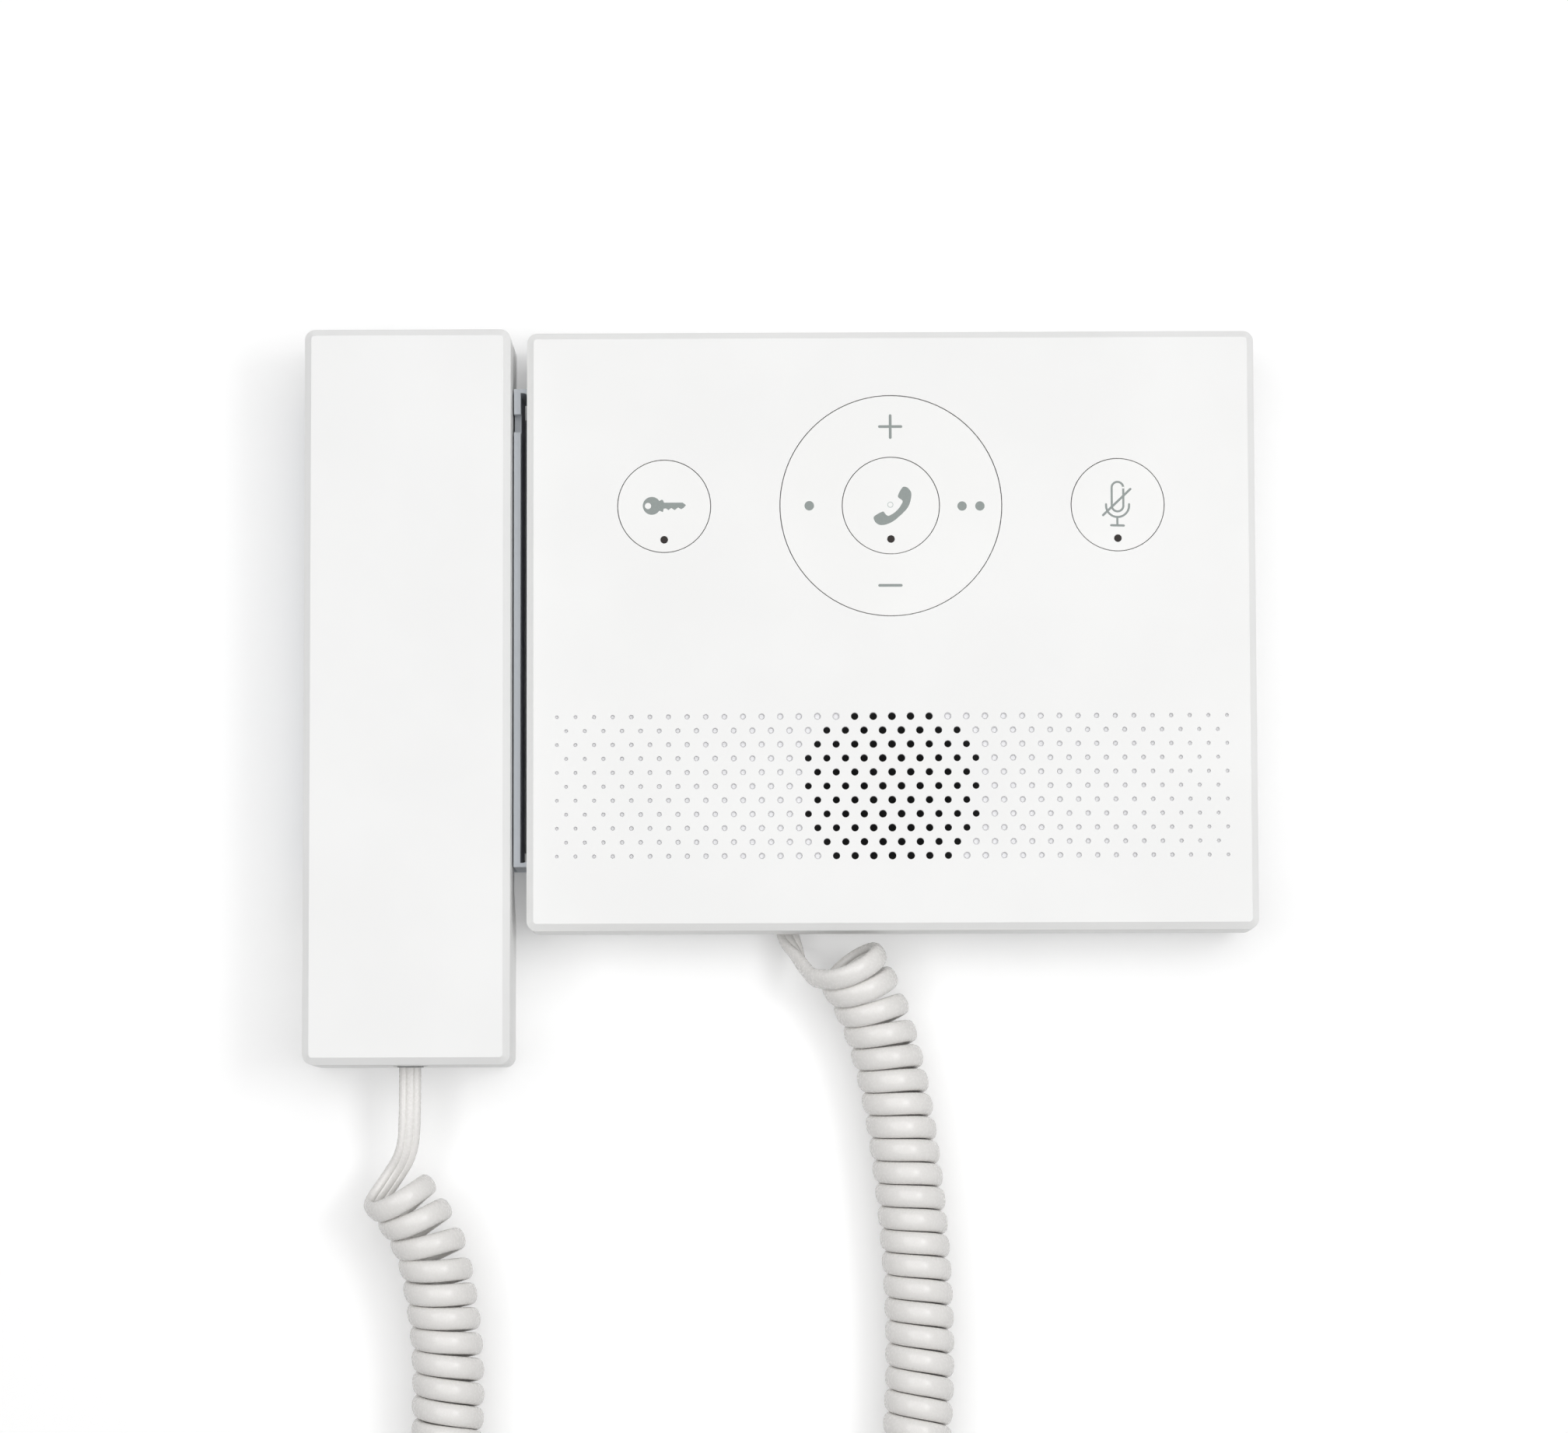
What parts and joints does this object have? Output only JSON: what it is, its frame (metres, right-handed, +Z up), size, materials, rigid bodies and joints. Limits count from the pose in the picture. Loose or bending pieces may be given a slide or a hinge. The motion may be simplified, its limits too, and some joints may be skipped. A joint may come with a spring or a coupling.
{
  "type": "wall intercom with corded handset",
  "caption": "Wall intercom: flat main unit with speaker grille and keys, bar handset in a side cradle and a curly cord between them.",
  "frame": {"origin": "on the wall, behind the middle of the main unit's front, at the centre of the four wall holes", "axes": "+Y into the wall, -Y towards the room, +Z up, +X to the right as seen from the room"},
  "size_m": [0.2314, 0.0345, 0.3377],
  "materials": {
    "casing_plastic": "fine matt texture, warm white",
    "handset_plastic": "fine matt texture, warm white",
    "cradle_plastic": "matt, a little greyer than the casing",
    "key_plastic": "smooth matt, printed grey pictograms",
    "lens_plastic": "dark smoked, polished",
    "cord_jacket": "soft extruded jacket with a slight sheen",
    "plug_plastic": "clear moulded",
    "socket_plastic": "black moulded",
    "plate_plastic": "moulded grey",
    "screw_steel": "zinc plated",
    "shield_steel": "tin plated sheet",
    "board_laminate": "green solder mask",
    "switch_plastic": "black moulded",
    "led_epoxy": "pale epoxy",
    "carrier_plastic": "dark grey, slippery moulding",
    "speaker_steel": "black painted pressing",
    "cone_paper": "treated dark paper",
    "magnet_metal": "nickel plated",
    "seal_rubber": "black elastomer",
    "microphone_metal": "bare can",
    "weight_iron": "bare casting",
    "wire_jacket": "insulated leads"
  },
  "bodies": {
    "base": {"front_cover": "casing_plastic", "rear_housing": "casing_plastic", "wall_plate": "plate_plastic", "locking_screw": "screw_steel", "case_screws": "screw_steel", "circuit_board": "board_laminate", "circuit_board_screws": "screw_steel", "tact_switches": "switch_plastic", "indicator_leds": "led_epoxy", "speaker_gasket": "seal_rubber", "speaker_frame": "speaker_steel", "speaker_cone": "cone_paper", "speaker_magnet": "magnet_metal", "speaker_screws": "screw_steel", "speaker_leads": "wire_jacket", "microphone_boot": "seal_rubber", "unit_microphone": "microphone_metal", "network_socket": "shield_steel", "base_cord_socket": "socket_plastic", "base_cord_plug": "plug_plastic", "cord_leads": "wire_jacket", "handset_cradle": "cradle_plastic", "cradle_screws": "screw_steel", "cradle_magnet": "magnet_metal", "hook_switch": "board_laminate", "curly_cord": "cord_jacket"},
    "handset": {"handset_front_shell": "handset_plastic", "handset_rear_shell": "handset_plastic", "handset_screws": "screw_steel", "handset_cord_socket": "socket_plastic", "handset_cord_plug": "plug_plastic", "earpiece_gasket": "seal_rubber", "earpiece_speaker": "speaker_steel", "mouthpiece_boot": "seal_rubber", "mouthpiece_microphone": "microphone_metal", "handset_weight": "weight_iron", "handset_magnet": "magnet_metal", "handset_leads": "wire_jacket"},
    "unlock_key": {"unlock_button": "key_plastic", "unlock_lens": "lens_plastic"},
    "mute_key": {"mute_button": "key_plastic", "mute_lens": "lens_plastic"},
    "call_key": {"call_button": "key_plastic", "call_lens": "lens_plastic"},
    "ring_frame": {"ring_carrier": "carrier_plastic"},
    "ring_cap": {"navigation_ring": "key_plastic"}
  },
  "joints": [
    {"name": "handset_lift", "type": "slide", "parent": "base", "child": "handset", "axis": [0, -1, 0], "range_m": [0, 0.12]},
    {"name": "unlock_press", "type": "slide", "parent": "base", "child": "unlock_key", "axis": [0, 1, 0], "range_m": [0, 0.0008], "stiffness_N_per_m": 800},
    {"name": "mute_press", "type": "slide", "parent": "base", "child": "mute_key", "axis": [0, 1, 0], "range_m": [0, 0.0008], "stiffness_N_per_m": 800},
    {"name": "call_press", "type": "slide", "parent": "base", "child": "call_key", "axis": [0, 1, 0], "range_m": [0, 0.0008], "stiffness_N_per_m": 800},
    {"name": "ring_up_down", "type": "hinge", "parent": "base", "child": "ring_frame", "pos_m": [0, -0.024, 0.03], "axis": [1, 0, 0], "range_deg": [-1.2, 1.2], "stiffness_Nm_per_rad": 1},
    {"name": "ring_left_right", "type": "hinge", "parent": "ring_frame", "child": "ring_cap", "pos_m": [0, -0.024, 0.03], "axis": [0, 0, 1], "range_deg": [-1.2, 1.2], "stiffness_Nm_per_rad": 1}
  ]
}
